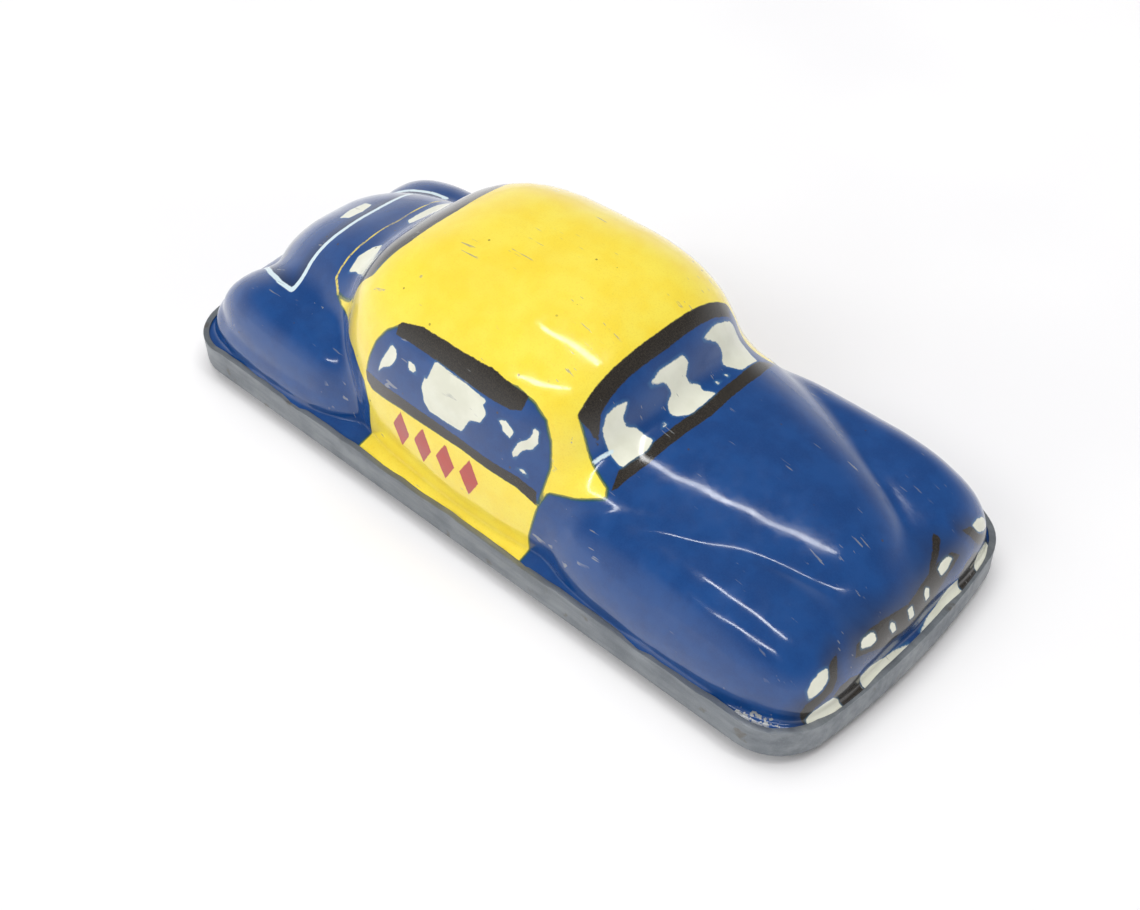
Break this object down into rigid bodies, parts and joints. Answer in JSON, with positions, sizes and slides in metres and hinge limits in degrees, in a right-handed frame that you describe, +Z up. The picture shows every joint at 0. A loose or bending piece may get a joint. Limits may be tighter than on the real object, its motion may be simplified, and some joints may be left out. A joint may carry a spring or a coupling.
{
  "type": "friction tin car",
  "caption": "Small pressed-tin saloon car with a printed body, a crimped base pan, two axles and a geared friction flywheel motor.",
  "frame": {"origin": "on the ground under the middle of the car", "axes": "+X forwards, the car's front; +Y its left side; +Z up"},
  "size_m": [0.0878, 0.0364, 0.0256],
  "materials": {
    "litho_tin": "glossy lithographed tinplate, royal blue with a yellow roof and doors",
    "bare_tin": "satin grey coated tinplate",
    "bracket_steel": "plain stamped steel",
    "rivet_steel": "dull steel",
    "shaft_steel": "drawn bright steel",
    "cast_zinc": "rough cast zinc with a turned rim",
    "gear_brass": "stamped and cut brass",
    "wheel_tin": "pressed tinplate",
    "tyre_rubber": "matt black rubber"
  },
  "bodies": {
    "chassis": {"body_shell": "litho_tin", "base_pan": "bare_tin", "motor_frame": "bracket_steel", "flywheel_bracket": "bracket_steel", "front_axle_bracket": "bracket_steel", "front_bracket_rivets": "rivet_steel", "flywheel_bracket_rivets": "rivet_steel"},
    "flywheel_set": {"flywheel": "cast_zinc", "flywheel_collars": "shaft_steel", "flywheel_shaft": "shaft_steel", "flywheel_pinion": "gear_brass"},
    "layshaft_set": {"layshaft": "shaft_steel", "layshaft_gear": "gear_brass", "layshaft_pinion": "gear_brass"},
    "rear_axle_set": {"rear_axle": "shaft_steel", "rear_axle_gear": "gear_brass", "rear_hub_left": "wheel_tin", "rear_hub_right": "wheel_tin", "rear_tyre_left": "tyre_rubber", "rear_tyre_right": "tyre_rubber"},
    "front_axle_set": {"front_axle": "shaft_steel", "front_hub_left": "wheel_tin", "front_hub_right": "wheel_tin", "front_tyre_left": "tyre_rubber", "front_tyre_right": "tyre_rubber"}
  },
  "joints": [
    {"name": "flywheel_spin", "type": "hinge", "parent": "chassis", "child": "flywheel_set", "pos_m": [-0.01733, 0, 0.00855], "axis": [0, 1, 0], "continuous": true},
    {"name": "layshaft_spin", "type": "hinge", "parent": "chassis", "child": "layshaft_set", "pos_m": [-0.02232, 0, 0.00829], "axis": [0, 1, 0], "continuous": true},
    {"name": "rear_axle_spin", "type": "hinge", "parent": "chassis", "child": "rear_axle_set", "pos_m": [-0.026, 0, 0.0052], "axis": [0, 1, 0], "continuous": true},
    {"name": "front_axle_spin", "type": "hinge", "parent": "chassis", "child": "front_axle_set", "pos_m": [0.0275, 0, 0.0052], "axis": [0, 1, 0], "continuous": true}
  ],
  "couplings": [
    {"joint": "layshaft_spin", "follows": "flywheel_spin", "ratio": -0.47059},
    {"joint": "rear_axle_spin", "follows": "flywheel_spin", "ratio": 0.23529}
  ]
}
